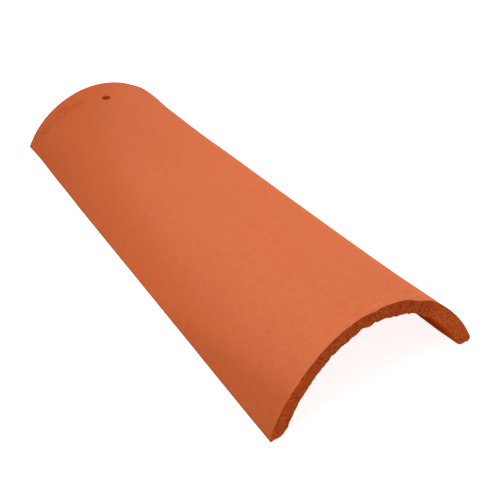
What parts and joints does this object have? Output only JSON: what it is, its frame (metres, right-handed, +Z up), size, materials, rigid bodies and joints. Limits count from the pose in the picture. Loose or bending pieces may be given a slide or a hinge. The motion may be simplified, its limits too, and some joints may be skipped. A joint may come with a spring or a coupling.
{
  "type": "curved clay roof tile",
  "caption": "Tapered barrel-shaped clay roof tile, one wire-cut slab bent to an arch, with a nail hole near its narrow end.",
  "frame": {"origin": "on the floor that the two feet rest on, under the middle of the tile", "axes": "+X across the tile, +Y along it towards the narrow end, +Z up through the crown"},
  "size_m": [0.2116, 0.5, 0.0887],
  "materials": {
    "terracotta": "matt, unglazed"
  },
  "bodies": {
    "root": {"curved_tile": "terracotta"}
  },
  "joints": []
}
